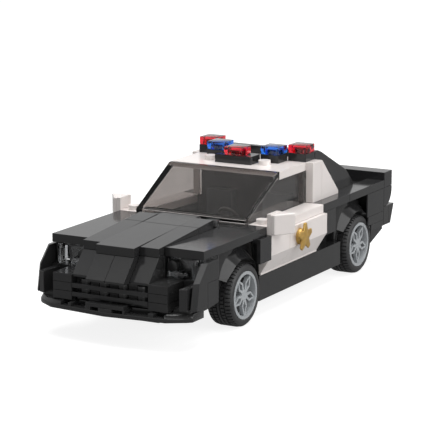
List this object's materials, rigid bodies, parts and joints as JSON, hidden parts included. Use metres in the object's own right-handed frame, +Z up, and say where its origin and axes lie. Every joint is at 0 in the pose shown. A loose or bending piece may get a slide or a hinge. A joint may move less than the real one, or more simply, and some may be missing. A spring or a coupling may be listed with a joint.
{
  "type": "brick-built toy police car",
  "caption": "Brick-built toy patrol car in black and white with a smoked cabin, roof lamps, door stars and free-rolling wheels.",
  "frame": {"origin": "on the floor, under the middle of the bounding box", "axes": "+X is the car's left, -Y its front, +Z up"},
  "size_m": [0.08, 0.1792, 0.0576],
  "materials": {
    "black_plastic": "smooth, glossy",
    "white_plastic": "smooth, glossy",
    "gold_plastic": "pearl, satin",
    "smoke_clear": "clear smoked plastic",
    "red_clear": "clear red plastic",
    "blue_clear": "clear blue plastic",
    "plain_clear": "clear plastic",
    "grey_plastic": "light bluish grey, glossy",
    "dark_grey_plastic": "dark grey, glossy",
    "tyre_rubber": "matte rubber"
  },
  "bodies": {
    "chassis": {"axle_blocks": "dark_grey_plastic", "badges": "gold_plastic", "base_plate": "black_plastic", "blue_lamps": "blue_clear", "bumper_blocks": "black_plastic", "bumper_tiles": "black_plastic", "cabin_floor": "black_plastic", "corner_panels": "black_plastic", "corner_walls": "black_plastic", "cowl": "black_plastic", "dashboard": "black_plastic", "diffuser": "black_plastic", "door_ledges": "white_plastic", "door_panels": "white_plastic", "fenders": "black_plastic", "flanks": "black_plastic", "front_arches": "black_plastic", "front_core": "black_plastic", "front_lip": "black_plastic", "grille": "black_plastic", "grille_slopes": "black_plastic", "headlamps": "plain_clear", "hood_centre": "black_plastic", "hood_sides": "black_plastic", "lamp_bases": "black_plastic", "mirror_brackets": "white_plastic", "mirror_heads": "white_plastic", "pillars": "white_plastic", "quarter_panels": "black_plastic", "rear_arches": "black_plastic", "rear_bumper": "black_plastic", "rear_core": "black_plastic", "rear_rails": "black_plastic", "rear_window": "black_plastic", "red_lamps": "red_clear", "roof": "white_plastic", "seats": "dark_grey_plastic", "side_walls": "black_plastic", "skirts": "black_plastic", "spoiler": "black_plastic", "tail_lamps": "red_clear", "tail_panel": "black_plastic", "trunk_deck": "black_plastic", "windscreen": "smoke_clear"},
    "wheel_fl": {"rim_fl": "grey_plastic", "tyre_fl": "tyre_rubber"},
    "wheel_fr": {"rim_fr": "grey_plastic", "tyre_fr": "tyre_rubber"},
    "wheel_rl": {"rim_rl": "grey_plastic", "tyre_rl": "tyre_rubber"},
    "wheel_rr": {"rim_rr": "grey_plastic", "tyre_rr": "tyre_rubber"}
  },
  "joints": [
    {"name": "roll_fl", "type": "hinge", "parent": "chassis", "child": "wheel_fl", "pos_m": [0.0257, -0.0402, 0.012], "axis": [1, 0, 0], "continuous": true},
    {"name": "roll_fr", "type": "hinge", "parent": "chassis", "child": "wheel_fr", "pos_m": [-0.0257, -0.0402, 0.012], "axis": [1, 0, 0], "continuous": true},
    {"name": "roll_rl", "type": "hinge", "parent": "chassis", "child": "wheel_rl", "pos_m": [0.0257, 0.0582, 0.012], "axis": [1, 0, 0], "continuous": true},
    {"name": "roll_rr", "type": "hinge", "parent": "chassis", "child": "wheel_rr", "pos_m": [-0.0257, 0.0582, 0.012], "axis": [1, 0, 0], "continuous": true}
  ]
}
